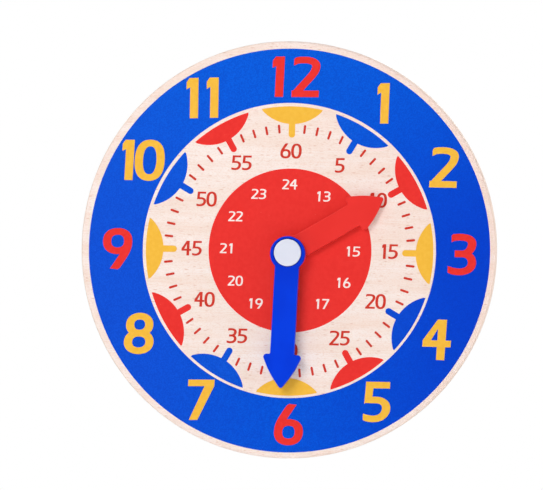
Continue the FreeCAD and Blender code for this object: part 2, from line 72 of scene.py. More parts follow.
class Field:
    """A number that varies over a surface. Arithmetic on fields adds Math nodes."""

    def __init__(self, tree, socket):
        self.tree = tree
        self.socket = socket

    def math(self, operation, *others):
        """The result of one Math node for this field and then the other values."""
        made = self.tree.nodes.new("ShaderNodeMath")
        made.operation = operation
        for place, value in zip(made.inputs, (self, *others)):
            feed(self.tree, place, value)
        return Field(self.tree, made.outputs[0])

    def __add__(self, other):
        return self.math("ADD", other)

    def __sub__(self, other):
        return self.math("SUBTRACT", other)

    def __rsub__(self, other):
        return self*-1.0 + other

    def __mul__(self, other):
        return self.math("MULTIPLY", other)

    def __truediv__(self, other):
        return self.math("DIVIDE", other)

    def __abs__(self):
        return self.math("ABSOLUTE")

    __radd__ = __add__
    __rmul__ = __mul__


def feed(tree, place, value):
    """Gives a node's input a field, or a plain number, colour or vector."""
    if isinstance(value, Field):
        tree.links.new(value.socket, place)
    else:
        place.default_value = value


def paint(red, green, blue):
    """A colour as a screen shows it, 0 to 255, turned into light."""
    share = np.array([red, green, blue])/255
    light = np.where(share <= 0.04045, share/12.92, ((share + 0.055)/1.055)**2.4)
    return (*light, 1.0)


class Finish:
    """A material while it is being mixed. Its patterns are in millimetres on the piece."""

    def __init__(self, name, **constants):
        self.material = bpy.data.materials.new(name)
        self.material.use_nodes = True
        self.tree = self.material.node_tree
        self.shader = self.tree.nodes["Principled BSDF"]
        for socket, value in constants.items():
            self.shader.inputs[socket.replace("_", " ")].default_value = value
        metres = self.node("ShaderNodeTexCoord", {}, {}, "Object")
        self.at = self.vector("SCALE", metres, Scale=1/MM)
        self.x, self.y, self.z = self.split(self.at)

    def node(self, kind, settings, inputs, output=0):
        """Adds one node: its settings, then a value or a link for each input named."""
        made = self.tree.nodes.new(kind)
        for name, value in settings.items():
            setattr(made, name, value)
        for name, value in inputs.items():
            feed(self.tree, made.inputs[name], value)
        return Field(self.tree, made.outputs[output])

    def vector(self, operation, first, *others, **named):
        """Vector Math on a vector field."""
        inputs = dict(enumerate((first, *others)), **named)
        return self.node("ShaderNodeVectorMath", {"operation": operation}, inputs)

    def length(self, vector):
        """How long a vector is."""
        return self.node("ShaderNodeVectorMath", {"operation": "LENGTH"}, {0: vector}, "Value")

    def split(self, vector):
        """The three numbers of a vector or a colour."""
        made = self.tree.nodes.new("ShaderNodeSeparateXYZ")
        feed(self.tree, made.inputs[0], vector)
        return [Field(self.tree, part) for part in made.outputs]

    def join(self, x, y, z):
        """A vector from three numbers."""
        return self.node("ShaderNodeCombineXYZ", {}, {"X": x, "Y": y, "Z": z})

    def cloud(self, size, detail=2.0, at=None, seed=0.0):
        """Soft noise from 0 to 1 about a half. Its patches are size long in x, y and z."""
        sized = self.vector("DIVIDE", at or self.at, size)
        moved = self.vector("ADD", sized, (seed, seed, seed))
        inputs = {"Vector": moved, "Scale": 1.0, "Detail": detail}
        return self.node("ShaderNodeTexNoise", {}, inputs, "Fac")

    def cells(self, size, at=None):
        """Scattered cells of about size: the distance from each cell's middle in cell
        widths, and three random numbers that are the same all over the cell."""
        made = self.tree.nodes.new("ShaderNodeTexVoronoi")
        made.inputs["Scale"].default_value = 1.0
        feed(self.tree, made.inputs["Vector"], self.vector("DIVIDE", at or self.at, size))
        chances = self.split(Field(self.tree, made.outputs["Color"]))
        return Field(self.tree, made.outputs["Distance"]), chances

    def rise(self, value, low, high):
        """0 below low, 1 above high, and a smooth slope between them."""
        return self.node(
            "ShaderNodeMapRange", {"interpolation_type": "SMOOTHSTEP"},
            {"Value": value, "From Min": low, "From Max": high},
        )

    def blend(self, share, first, second):
        """From the first colour at share 0 to the second at share 1."""
        return self.node("ShaderNodeMix", {"data_type": "RGBA"}, {0: share, 6: first, 7: second}, 2)

    def relief(self, height):
        """The shader's normal, raised by a height in millimetres."""
        bump = self.node("ShaderNodeBump", {}, {"Height": height, "Distance": MM}, "Normal")
        feed(self.tree, self.shader.inputs["Normal"], bump)

    def show(self, **fields):
        """Feeds the shader's sockets."""
        for socket, value in fields.items():
            feed(self.tree, self.shader.inputs[socket.replace("_", " ")], value)


def coat(node, finish):
    """Gives one of the model's own nodes a finish."""
    nodes[node].material_slots[0].material = finish.material


def along_grain(finish):
    """Where a point lies in wood whose grain runs across and wanders up and down a little."""
    wander = finish.cloud(WANDER, seed=3.0)
    return finish.join(finish.x, finish.y, finish.z + wander*WANDER_BY)


def make_beech():
    """Pale beech, pinker to the upper right. Each face ply has soft brown ray flecks along
    its grain. At the edge each ply is darker where its grain ends there, and glue shows
    between the plies."""
    wood = Finish("beech", Roughness=0.5, Specular_IOR_Level=0.25)
    along = along_grain(wood)
    streak = wood.cloud(STREAK, 3.0, along)
    pink_cloud = wood.cloud(CLOUD, 3.0, along, 7.0)
    out = wood.vector("SUBTRACT", wood.at, tuple(BOARD_CENTRE))
    out_x, out_y, out_z = wood.split(out)
    depth = (wood.y - BOARD_FACE)/PLY
    layer = (depth + NUDGE).math("FLOOR")
    upright = layer.math("MODULO", 2.0)

    face = wood.blend(wood.rise(pink_cloud, 0.3, 0.7), paint(254, 240, 234), paint(250, 229, 218))
    face = wood.blend(wood.rise(streak, 0.45, 0.75)*0.4, face, paint(243, 209, 190))
    pinker = wood.rise(out_x*0.7 + out_z*0.3, 0.0, BOARD_RADIUS*1.1)*0.38
    face = wood.blend(pinker, face, paint(250, 214, 202))
    pore = wood.cloud(PORE, 2.0, seed=9.0)
    face = wood.blend(wood.rise(pore, 0.45, 0.75)*0.6, face, paint(238, 205, 184))

    # Ray flecks: one in some of the cells of a net that is stretched along the grain, with
    # another net for each face.
    flat = wood.join(wood.x, wood.z + wood.x*FLECK_SLOPE, depth.math("ROUND")*NEXT_NET)
    far, (chance, length, tone) = wood.cells(FLECK_CELL, flat)
    inside = 1.0 - wood.rise(far/(0.25 + length*0.25), 0.2, 1.0)
    on_face = wood.rise(abs(out_y), BOARD_THICK/2 - 0.5, BOARD_THICK/2 - 0.1)
    fleck = inside*wood.rise(chance, 0.4, 0.5)*on_face*(0.15 + tone*tone*0.45)
    face = wood.blend(fleck, face, paint(220, 168, 140))

    # Grain ends at the sides of the plies that lie across, and at top and foot of the others.
    side = abs(out_x)/BOARD_RADIUS
    top = abs(out_z)/BOARD_RADIUS
    ended = side + (top - side)*upright
    pores = wood.cloud(END_PORE, 1.0)
    end_grain = wood.blend(pores, paint(234, 204, 182), paint(251, 234, 221))
    between = wood.rise(abs(depth - PLIES/2), PLIES/2 - 0.3, PLIES/2 - 0.5)
    glue = between*(1.0 - wood.rise(depth.math("PINGPONG", 0.5), 0.02, 0.07))
    radius = wood.length(wood.join(out_x, 0.0, out_z))
    at_edge = wood.rise(radius, BOARD_RADIUS - EDGE_SHOWS, BOARD_RADIUS - EDGE_SHOWS/3)
    edge = wood.blend(wood.rise(ended, 0.2, 0.9)*0.8 + 0.1, face, end_grain)
    edge = wood.blend(glue*0.65, edge, paint(206, 164, 134))
    wood.show(
        Base_Color=wood.blend(at_edge, face, edge),
        Roughness=0.42 + streak*0.15,
    )
    wood.relief(streak*0.012 - fleck*0.01)
    return wood


coat("dial_board", make_beech())

# ------------------------------------------------------------------ the print
# Screen-printed inks on the varnished beech: a blue ring with the hours, twelve half-round
# markers, the minutes in fives with ticks between them, and a red disc with the hours to 24.
# Each ink is a film a few hundredths of a millimetre thick, with the grain showing through.

PRINT_CENTRE = np.array([0.0, 1.1])
INK = 0.04
MOTTLE = (1.6, 1.6, 1.6)
PINHOLE_CELL = (3.2, 3.2, 3.2)
BLUE_GRAIN = (0.6, 0.6, 0.6)
RING_OUTER = 96.79
RING_INNER = 70.74
DISC_RADIUS = 39.28
DISC_CENTRE = np.array([0.38, 0.0])
DISC_BORE = 6.7
SCALE_CENTRE = np.array([0.12, -0.23])

# A marker: the radius of its top, half its width, the radius of its half-round lower side and
# the height of that circle's middle, and how wide its stub is and where it ends.
MARKER_ARC = 69.35
MARKER_HALF_WIDTH = 14.67
MARKER_BOW = 19.8
MARKER_BOW_AT = 80.66
MARKER_STUB = 3.08
MARKER_STUB_AT = 54.36

# A tick: how wide it is, and where it begins and ends.
TICK = 1.1
TICK_FROM = 56.5
TICK_TO = 60.8


def make_ink(name, deep, plain, light, painted_light_and_grain=None):
    """A printed colour, a little mottled where the screen laid it thinner, with a few
    pinholes. An optional function may paint light and shade over the board, and a grain."""
    ink = Finish(name, Specular_IOR_Level=0.06)
    streak = ink.cloud(STREAK, 3.0, along_grain(ink))
    mottle = ink.cloud(MOTTLE, 3.0)
    colour = ink.blend(ink.rise(mottle, 0.3, 0.7), deep, plain)
    if painted_light_and_grain:
        colour = painted_light_and_grain(ink, colour)
    far, (chance, _, tone) = ink.cells(PINHOLE_CELL)
    pinhole = (1.0 - ink.rise(far, 0.03, 0.08))*ink.rise(chance, 0.6, 0.62)*tone
    ink.show(
        Base_Color=ink.blend(pinhole*0.5 + ink.rise(streak, 0.6, 0.9)*0.06, colour, light),
        Roughness=0.5 + mottle*0.1,
    )
    ink.relief(streak*0.008 + mottle*0.004)
    return ink


def piece(name, corners, faces, finish):
    """A new object whose mesh has these faces, from corners in millimetres."""
    mesh = bpy.data.meshes.new(name)
    mesh.from_pydata(np.asarray(corners)*MM, [], faces)
    mesh.materials.append(finish.material)
    made = bpy.data.objects.new(name, mesh)
    bpy.context.scene.collection.objects.link(made)
    return made


INSIDE_TRIANGLES = 1
SAME_CORNER = 1e-4
NO_AREA = 1e-6


def film(name, outlines, finish, coats=1):
    """Ink on the board's face: the flat outlines, in (x, z) from the print's centre, are
    joined into one shape, which is given a front, a back and a wall along its rim. A
    film of two coats lies on top of one of one coat."""
    corners = []
    rings = []
    for outline in outlines:
        x, z = outline.T
        area = (x*np.roll(z, -1) - z*np.roll(x, -1)).sum()/2
        if abs(area) < NO_AREA:
            continue
        if area < 0:
            outline = outline[::-1]
        rings.append(list(range(len(corners), len(corners) + len(outline))))
        corners += outline.tolist()
    flat, _, parts, _, _, sources = delaunay_2d_cdt(
        corners, [], rings, INSIDE_TRIANGLES, SAME_CORNER)
    flat = np.array(flat) + PRINT_CENTRE
    parts = np.array([part for part, source in zip(parts, sources) if source])
    edges = np.concatenate([parts[:, [0, 1]], parts[:, [1, 2]], parts[:, [2, 0]]])
    _, first, uses = np.unique(
        np.sort(edges, axis=1), axis=0, return_index=True, return_counts=True)
    start, end = edges[first[uses == 1]].T
    count = len(flat)
    front = np.insert(flat, 1, BOARD_FACE - INK*coats, axis=1)
    back = np.insert(flat, 1, BOARD_FACE - INK*(coats - 1) + INK/2, axis=1)
    walls = np.stack([start, start + count, end + count, end], axis=1)
    faces = parts.tolist() + (parts[:, ::-1] + count).tolist() + walls.tolist()
    made = piece(name, np.vstack([front, back]), faces, finish)
    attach(made, "root")


def turned(outline, degrees):
    """An outline turned clockwise round the print's centre: x becomes x cosine + z sine, and
    z becomes z cosine - x sine."""
    angle = math.radians(degrees)
    cos, sin = math.cos(angle), math.sin(angle)
    return outline @ np.array([[cos, -sin], [sin, cos]])


def arc(centre, radius, first, last, steps):
    """Points along a circle, between two angles in degrees from +x towards +z: the centre
    plus the radius times the angle's cosine and sine."""
    angle = np.radians(np.linspace(first, last, steps + 1))
    return np.array(centre) + radius*np.stack([np.cos(angle), np.sin(angle)], axis=1)


def band_round(inner, outer, steps=240):
    """The four-sided outlines that fill the space between two circles."""
    near = arc((0, 0), inner, 0, 360, steps)
    far = arc((0, 0), outer, 0, 360, steps)
    return list(np.stack([near[:-1], far[:-1], far[1:], near[1:]], axis=1))


def bar(width, low, high):
    """An upright bar on the z axis with half-round ends."""
    half = width/2
    return np.vstack([
        arc((0, high - half), half, 0, 180, 12),
        arc((0, low + half), half, 180, 360, 12),
    ])


def marker():
    """A half-round marker at 12 o'clock. Its top is an arc round the print's centre and its
    lower side an arc round a point above, which meet at two tips, and a stub hangs below."""
    reach = math.degrees(math.asin(MARKER_HALF_WIDTH/MARKER_ARC))
    tip_at = math.sqrt(MARKER_ARC**2 - MARKER_HALF_WIDTH**2)
    dip = math.degrees(math.atan2(MARKER_BOW_AT - tip_at, MARKER_HALF_WIDTH))
    lens = np.vstack([
        arc((0, 0), MARKER_ARC, 90 - reach, 90 + reach, 24),
        arc((0, MARKER_BOW_AT), MARKER_BOW, 180 + dip, 360 - dip, 36)[1:-1],
    ])
    return [lens, bar(MARKER_STUB, MARKER_STUB_AT, MARKER_BOW_AT - MARKER_BOW + MARKER_STUB)]


QUARTER = 0.5523  # a Bezier handle of this share of the radius draws a quarter circle
CURVE_STEPS = 12
OVERSHOOT = 0.012


def oval(x, z, half_width, half_height, fullness=QUARTER):
    """The knots of an oval, from its top round to the right and back."""
    bulge = fullness*half_width, fullness*half_height
    left, right = x - half_width, x + half_width
    low, high = z - half_height, z + half_height
    return [
        (x, high), (x + bulge[0], high), (right, z + bulge[1]),
        (right, z), (right, z - bulge[1]), (x + bulge[0], low),
        (x, low), (x - bulge[0], low), (left, z - bulge[1]),
        (left, z), (left, z + bulge[1]), (x - bulge[0], high), (x, high),
    ]


def stroke(knots, width, height, pen, before=0.0, after=0.0, cut=None):
    """The four-sided outlines that an oval pen leaves along a chain of Bezier curves. The
    knots are shares of the room in which the pen's middle moves: point, handle, handle,
    point and so on. The plane is squeezed until the pen is round, the line is offset to
    both sides, and the plane is let out again. The ends can run on by before and after,
    and nothing passes the upright line at cut."""
    squeeze = np.array([pen[1]/pen[0], 1.0])
    room = np.array([width - pen[0], height - pen[1]])
    knots = (np.array(knots)*room + np.array(pen)/2)*squeeze
    start, leave, reach, end = (knots[i:len(knots) - 3 + i:3, None] for i in range(4))
    gone = np.linspace(0, 1, CURVE_STEPS, endpoint=False)[None, :, None]
    rest = 1 - gone
    line = rest**3*start + 3*rest**2*gone*leave + 3*rest*gone**2*reach + gone**3*end
    run = rest**2*(leave - start) + 2*rest*gone*(reach - leave) + gone**2*(end - reach)
    line = np.vstack([line.reshape(-1, 2), knots[-1]])
    run = np.vstack([run.reshape(-1, 2), knots[-1] - knots[-2]])
    run /= np.linalg.norm(run, axis=1)[:, None]
    line = np.vstack([line[0] - run[0]*before, line, line[-1] + run[-1]*after])
    run = np.vstack([run[0], run, run[-1]])
    side = np.stack([-run[:, 1], run[:, 0]], axis=1)*pen[1]/2
    one, other = (line + side)/squeeze, (line - side)/squeeze
    if cut is not None:
        one[:, 0] = np.maximum(one[:, 0], cut)
        other[:, 0] = np.maximum(other[:, 0], cut)
    return list(np.stack([one[:-1], other[:-1], other[1:], one[1:]], axis=1))


def figure(digit, width, height, pen):
    """The outlines of one figure in a box from (0, 0) to (width, height): round parts are
    strokes of the pen, and straight parts are blocks as thick as the pen."""
    wide, high = pen[0]/width, pen[1]/height

    def line(*knots, **ends):
        """A stroke of the pen through these knots."""
        return stroke(knots, width, height, pen, **ends)

    def block(*corners):
        """A straight-sided outline whose corners are shares of the box."""
        return [np.array(corners)*np.array([width, height])]

    def upright(left):
        """A block as wide as the pen and as tall as the box."""
        return block((left, 0), (left + wide, 0), (left + wide, 1), (left, 1))

    def level(left, right, low):
        """A block as thick as the pen that lies level."""
        return block((left, low), (right, low), (right, low + high), (left, low + high))

    if digit == "0":
        return line(*oval(0.5, 0.5, 0.5, 0.5, 0.67))
    if digit == "1":
        middle = 1 - wide/2
        flag = block((middle, 1), (1 - wide*1.08, 1), (0, 0.9), (0, 0.72), (middle, 0.82))
        return upright(1 - wide) + flag
    if digit == "2":
        crown = line((-0.01, 0.98), (0.11, 0.995), (0.165, 1), (0.385, 1), (0.755, 1), (1, 0.93),
                     (1, 0.82), before=pen[1], cut=width*0.04)
        leg = line((1, 0.82), (1, 0.61), (0.7, 0.5), (0.02, 0.02), after=pen[1], cut=0.0)
        return crown + leg + level(0, 0.99, 0)
    if digit == "3":
        upper = line((0.06, 0.985), (0.18, 0.996), (0.22, 1), (0.42, 1), (0.76, 1), (0.98, 0.93),
                     (0.98, 0.816), (0.98, 0.637), (0.74, 0.518), (0.494, 0.518),
                     before=pen[1], cut=width*0.11)
        lower = line((0.494, 0.518), (0.8, 0.518), (1, 0.414), (1, 0.258), (1, 0.108), (0.75, 0),
                     (0.377, 0), (0.177, 0), (0.12, 0.01), (0, 0.023), after=pen[1], cut=0.0)
        return upper + lower + level(0.232, 0.6, 0.518*(1 - high))
    if digit == "4":
        stem = 0.81 - wide
        slope = block((stem - 0.028, 1), (0, 0.48), (0, 0.32), (0.29, 0.32 + high), (stem, 0.775),
                      (stem, 1))
        return upright(stem) + level(0, 1, 0.32) + slope
    if digit == "5":
        neck = block((0.09, 1), (0.09 + wide*0.95, 1), (0.037 + wide*0.95, 0.451 + high*0.8),
                     (0.037, 0.451))
        bowl = line((0.068, 0.562), (0.17, 0.559), (0.326, 0.558), (0.476, 0.558), (0.79, 0.558),
                    (1, 0.456), (1, 0.331), (1, 0.139), (0.73, 0), (0.321, 0), (0.121, 0),
                    (0.12, 0.008), (0, 0.018), before=pen[1]*0.3, after=pen[1], cut=0.0)
        return level(0.09, 0.968, 1 - high) + neck + bowl
    if digit == "6":
        stem = line((0, 0.281), (0, 0.547), (0.158, 0.65), (0.651, 1.12))
        return line(*oval(0.5, 0.281, 0.5, 0.281, 0.634)) + stem
    if digit == "7":
        slope = block((1 - wide*1.17, 1 - high*0.98), (1, 1 - high*0.98), (0.12 + wide*1.02, 0),
                      (0.12, 0))
        return level(0, 1, 1 - high) + slope
    if digit == "8":
        return line(*oval(0.5, 0.255, 0.5, 0.255, 0.6)) + line(*oval(0.5, 0.755, 0.445, 0.245, 0.6))
    return [np.array([width, height]) - outline for outline in figure("6", width, height, pen)]


class Figures:
    """One size of figures: how tall, how slanted, how thick, how wide each is, the space
    after a 1, beside a round figure and elsewhere, and whether 10 is set close."""

    def __init__(self, height, slant, pen, widths, after_one, round_gap, gap, close_ten=False):
        self.height = height
        self.slant = slant
        self.pen = pen
        self.widths = dict(zip("0123456789", widths))
        self.after_one = after_one
        self.round_gap = round_gap
        self.gap = gap
        self.close_ten = close_ten

    def space(self, pair):
        """The space between two figures that stand next to each other."""
        if pair == "10" and self.close_ten:
            return self.gap
        if pair[0] == "1":
            return self.after_one
        if pair[1] == "1":
            return self.gap*3
        return self.round_gap if set(pair) & set("06") else self.gap

    def number(self, text, x, z, lean=0.0, turn=0.0):
        """A number's outlines, with the middle of its box at (x, z) from the print's centre. It
        can lean over more than the others, and be turned clockwise. Round figures pass the
        lines on which straight ones stand and end."""
        spaces = [self.space(text[i:i + 2]) for i in range(len(text) - 1)] + [0.0]
        length = sum(self.widths[digit] for digit in text) + sum(spaces)
        slope = math.tan(math.radians(self.slant + lean))
        left = -length/2
        placed = []
        for digit, space in zip(text, spaces):
            tall = 1 + OVERSHOOT if digit in "03689" else 1 - OVERSHOOT
            for outline in figure(digit, self.widths[digit], self.height, self.pen):
                across, up = outline.T
                up = (np.clip(up, 0, self.height) - self.height/2)*tall
                upright = np.stack([left + across + up*slope, up], axis=1)
                placed.append(turned(upright, turn) + np.array([x, z]))
            left += self.widths[digit] + space
        return placed


HOUR_FIGURES = Figures(
    height=19.6, slant=2.4, pen=(4.0, 3.2), after_one=4.0, round_gap=0.5, gap=0.5, close_ten=True,
    widths=(14.5, 5.75, 13.3, 13.6, 13.6, 13.1, 14.0, 12.7, 14.4, 14.2),
)
MINUTE_FIGURES = Figures(
    height=7.15, slant=1.6, pen=(1.29, 0.98), after_one=1.2, round_gap=0.1, gap=0.5,
    widths=(5.05, 1.9, 4.7, 4.75, 4.7, 4.6, 5.1, 4.7, 4.7, 4.7),
)
DAY_FIGURES = Figures(
    height=4.85, slant=2.1, pen=(0.88, 0.68), after_one=1.43, round_gap=0.4, gap=0.4,
    widths=(3.6, 1.5, 3.25, 3.45, 3.6, 3.5, 3.55, 3.3, 3.6, 3.6),
)

# Where the middle of each number is from the print's centre, and where a number needs it,
# how much more it leans and how far it is turned.
HOURS = {
    "12": (1.55, 83.3, 0.0, -0.6), "1": (43.8, 71.3, 0.2, -1.5), "2": (73.9, 41.2, 0.6, 0.0),
    "3": (83.4, -0.3, -1.8, 0.0), "4": (72.05, -41.3, 0.0, 0.5), "5": (43.8, -71.7, -1.6, -0.3),
    "6": (1.6, -83.4, -0.2, -0.5), "7": (-41.45, -72.4, 1.5, -1.0), "8": (-71.6, -41.2, 0.2, -0.4),
    "9": (-83.0, -0.7, -1.2, -0.5), "10": (-71.4, 42.0, -0.2, 0.0), "11": (-43.4, 72.4, -0.4, -2.2),
}
MINUTES = {
    "60": (-0.1, 47.7), "5": (23.6, 41.2), "10": (42.6, 24.9), "15": (48.6, 0.4),
    "20": (42.2, -23.6), "25": (25.2, -41.5), "30": (0.15, -48.1), "35": (-24.3, -41.4),
    "40": (-40.3, -24.2), "45": (-47.1, 0.2), "50": (-40.3, 23.9), "55": (-23.8, 41.6),
}
DAY_HOURS = {
    "24": (-0.3, 31.7), "13": (16.2, 26.2), "14": (26.9, 15.7), "15": (31.0, 0.1),
    "16": (26.7, -15.0), "17": (16.6, -25.3), "18": (0.1, -30.4), "19": (-15.5, -25.7),
    "20": (-25.6, -15.0), "21": (-30.4, 0.5), "22": (-26.2, 15.9, 2.0), "23": (-15.2, 26.8, 2.0),
}


def numbers(figures, places):
    """The outlines of several numbers."""
    return [outline for text, place in places.items() for outline in figures.number(text, *place)]


def ring_painted_light_and_grain(ink, colour):
    """Painted light and shade: the blue is painted greyer towards 9 o'clock, deeper towards 3
    and lighter towards 12, as the lamp at the upper left lights it. It has a fine deeper grain all
    over."""
    # Painted light and shade: lighter where the lamp at the upper left falls, deeper away from it.
    colour = ink.blend(ink.rise(ink.x, -80.0, 0.0), paint(12, 84, 218), colour)
    colour = ink.blend(ink.rise(ink.x, -10.0, 100.0), colour, paint(0, 66, 209))
    colour = ink.blend(ink.rise(ink.z, 0.0, 100.0)*0.6, colour, paint(0, 101, 228))
    grain = ink.rise(ink.cloud(BLUE_GRAIN, 1.0), 0.35, 0.65)
    return ink.blend(grain*0.3, colour, paint(0, 48, 186))


blue_ink = make_ink(
    "blue_ink", paint(0, 83, 218), paint(0, 90, 223), paint(60, 125, 240), ring_painted_light_and_grain)
marker_blue = make_ink(
    "marker_blue_ink", paint(6, 88, 218), paint(14, 94, 223), paint(90, 150, 240), ring_painted_light_and_grain)
red_ink = make_ink("red_ink", paint(236, 51, 46), paint(239, 55, 50), paint(250, 130, 110))
yellow_ink = make_ink("yellow_ink", paint(247, 187, 63), paint(250, 193, 70), paint(253, 226, 160))
tick_red = make_ink("tick_red_ink", paint(206, 52, 40), paint(214, 62, 46), paint(240, 140, 110))
white_ink = make_ink("white_ink", paint(250, 232, 227), paint(254, 236, 231), paint(252, 190, 180))

film("hour_ring", band_round(RING_INNER, RING_OUTER), blue_ink)
for first_hour, (name, ink) in enumerate(
    [("markers_yellow", yellow_ink), ("markers_blue", marker_blue), ("markers_red", red_ink)]
):
    hours = range(first_hour, 12, 3)
    outlines = [turned(outline, 30*hour) + SCALE_CENTRE for hour in hours for outline in marker()]
    film(name, outlines, ink)
tick = bar(TICK, TICK_FROM, TICK_TO)
film("minute_ticks", [turned(tick, 6*m) + SCALE_CENTRE for m in range(60) if m % 5], tick_red)
disc = band_round(DISC_BORE, DISC_RADIUS)
film("centre_disc", [outline + DISC_CENTRE for outline in disc], red_ink)
film("minute_numbers", numbers(MINUTE_FIGURES, MINUTES), tick_red)
film("day_numbers", numbers(DAY_FIGURES, DAY_HOURS), white_ink, coats=2)
quarter_hours = {text: HOURS[text] for text in ("12", "3", "6", "9")}
other_hours = {text: place for text, place in HOURS.items() if text not in quarter_hours}
film("quarter_hour_numbers", numbers(HOUR_FIGURES, quarter_hours), red_ink, coats=2)
film("hour_numbers", numbers(HOUR_FIGURES, other_hours), yellow_ink, coats=2)

# ------------------------------------------------------------------ bushes
# Two brass bushes turned on a lathe. The flanged one is pressed through the board and holds
# the case, and the small one is pressed into the clear cover for the arbor's rear end.

TOOL_WAVE = 50.0  # radians per millimetre: a ring every 0.13 mm


def make_turned_brass():
    """Brass with the fine rings that the tool leaves round the axis, a little tarnished."""
    brass = Finish("turned_brass", Metallic=1.0)
    radius = brass.length(brass.join(brass.x, 0.0, brass.z))
    chatter = brass.cloud((1.5, 1.5, 1.5), 2.0)
    groove = ((radius + brass.y + chatter*0.15)*TOOL_WAVE).math("SINE")
    stain = brass.cloud((2.5, 2.5, 2.5), 3.0, seed=4.0)
    tarnish = brass.rise(stain, 0.4, 0.75)
    brass.show(
        Base_Color=brass.blend(tarnish, paint(232, 202, 128), paint(190, 150, 88)),
        Roughness=0.24 + groove*0.04 + stain*0.12,
    )
    brass.relief(groove*0.003)
    return brass


brass = make_turned_brass()
coat("centre_bush", brass)
coat("rear_bush", brass)

# ------------------------------------------------------------------ steel pieces
# The arbor, the idler stud, its clip, the bowed spring and every screw are plain steel with
# thin bright zinc on it, barrel plated and a little scuffed.


def make_zinc_steel():
    """Zinc plate: cloudy bright grey with fine scratches along and across the clock's axis."""
    steel = Finish("zinc_steel", Metallic=1.0)
    haze = steel.cloud((1.2, 1.2, 1.2), 4.0)
    along = steel.cloud((0.08, 3.0, 0.08), 1.0, seed=2.0)
    across = steel.cloud((3.0, 0.1, 0.1), 1.0, seed=5.0)
    steel.show(
        Base_Color=steel.blend(haze, paint(188, 192, 198), paint(222, 224, 226)),
        Roughness=0.22 + haze*0.16,
    )
    steel.relief((along + across)*0.003)
    return steel


steel = make_zinc_steel()
for name in (
    "case_screws", "cover_screws", "hand_screw", "idler_stud", "idler_clip", "friction_spring",
    "minute_arbor",
):
    coat(name, steel)

# ------------------------------------------------------------------ gear case
# A tray moulded in off-white ABS with a fine sparked texture. The flanged bush and four wood
# screws hold it on the board's back.


def make_moulded(name, plain, shade, grain, texture, roughness, specular=0.4, painted_shade=None):
    """Moulded plastic: a fine even texture of grain mm, and a faint cloud of flow. An optional
    function may paint shade over the piece."""
    plastic = Finish(name, Specular_IOR_Level=specular)
    flow = plastic.cloud((14, 14, 14), 2.0, seed=grain)
    spark = plastic.cloud((grain, grain, grain), 2.0)
    colour = plastic.blend(plastic.rise(flow, 0.3, 0.7), plain, shade)
    if painted_shade:
        colour = painted_shade(plastic, colour)
    plastic.show(
        Base_Color=colour,
        Roughness=roughness + (spark - 0.5)*0.12,
    )
    plastic.relief(spark*texture)
    return plastic


coat("gear_case", make_moulded(
    "case_plastic", paint(232, 230, 224), paint(224, 221, 213),
    grain=0.35, texture=0.03, roughness=0.55))

# ------------------------------------------------------------------ gears
# Three gears moulded in satin acetal, each in its own colour so that the train can be
# followed through the clear cover: the minute arbor's pinion, the minute wheel, the hour wheel.


def make_acetal(name, plain, shade):
    """Satin acetal in one colour."""
    return make_moulded(name, plain, shade, grain=0.25, texture=0.008, roughness=0.38)


coat("cannon_pinion", make_acetal("pinion_blue", paint(30, 84, 205), paint(22, 70, 190)))
coat("minute_wheel", make_acetal("wheel_yellow", paint(248, 190, 60), paint(240, 176, 44)))
coat("hour_wheel", make_acetal("wheel_red", paint(226, 52, 46), paint(212, 40, 38)))

# ------------------------------------------------------------------ clear cover
# A lid moulded in clear polystyrene that closes the case, held by four small screws. It shows
# the gears, and the clock hangs on its keyhole.

SCUFF = (0.3, 5.0, 3.0)
RIPPLE = (9.0, 9.0, 9.0)


def make_clear():
    """Clear plastic with a faint blue colour, fine scuffs and a slight moulded ripple. It is
    clearest through its flat faces, and its edges are painted denser and paler: a painted sheen."""
    clear = Finish("clear_cover", IOR=1.5)
    scuff = clear.cloud(SCUFF, 3.0)
    ripple = clear.cloud(RIPPLE, 1.0)
    scuffed = clear.rise(scuff, 0.55, 0.8)
    facing = clear.split(clear.node("ShaderNodeTexCoord", {}, {}, "Normal"))[1]
    # Painted sheen: more opaque where the faces turn sideways.
    edge = 1.0 - clear.rise(abs(facing), 0.2, 0.9)
    clear.show(
        Base_Color=clear.blend(scuffed, paint(206, 226, 236), paint(244, 248, 250)),
        Roughness=0.05 + scuffed*0.2,
        Alpha=0.09 + scuffed*0.08 + edge*0.35,
    )
    clear.relief(ripple*0.02)
    return clear


coat("case_cover", make_clear())

# ------------------------------------------------------------------ washers
# Two thin washers punched from natural nylon: one lies loose between the bush and the hour
# hand, and one between the hands.

nylon = make_moulded(
    "nylon", paint(238, 236, 228), paint(230, 226, 215), grain=0.4, texture=0.01, roughness=0.45)
coat("hour_washer", nylon)
coat("hand_washer", nylon)

# ------------------------------------------------------------------ hour hand
# A flat arrow, 2 mm thick, moulded in the red of the centre disc with a satin face, and
# pressed on the hour wheel's tube.

coat("hour_hand", make_moulded(
    "hand_red", paint(239, 54, 49), paint(236, 51, 46),
    grain=0.5, texture=0.004, roughness=0.35, specular=0.1))

# ------------------------------------------------------------------ minute hand
# A longer arrow, 3 mm thick, moulded in blue plastic and pressed on the arbor. A cup in its
# hub holds the screw and the cap.

CAP_RADIUS = (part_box("hub_cap")[1][0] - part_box("hub_cap")[0][0])/2/MM
CUP_RADIUS = CAP_RADIUS + 0.5
HUB_SHADE_TO = 25.0
SHADED_SEAM_WIDTH = 0.8


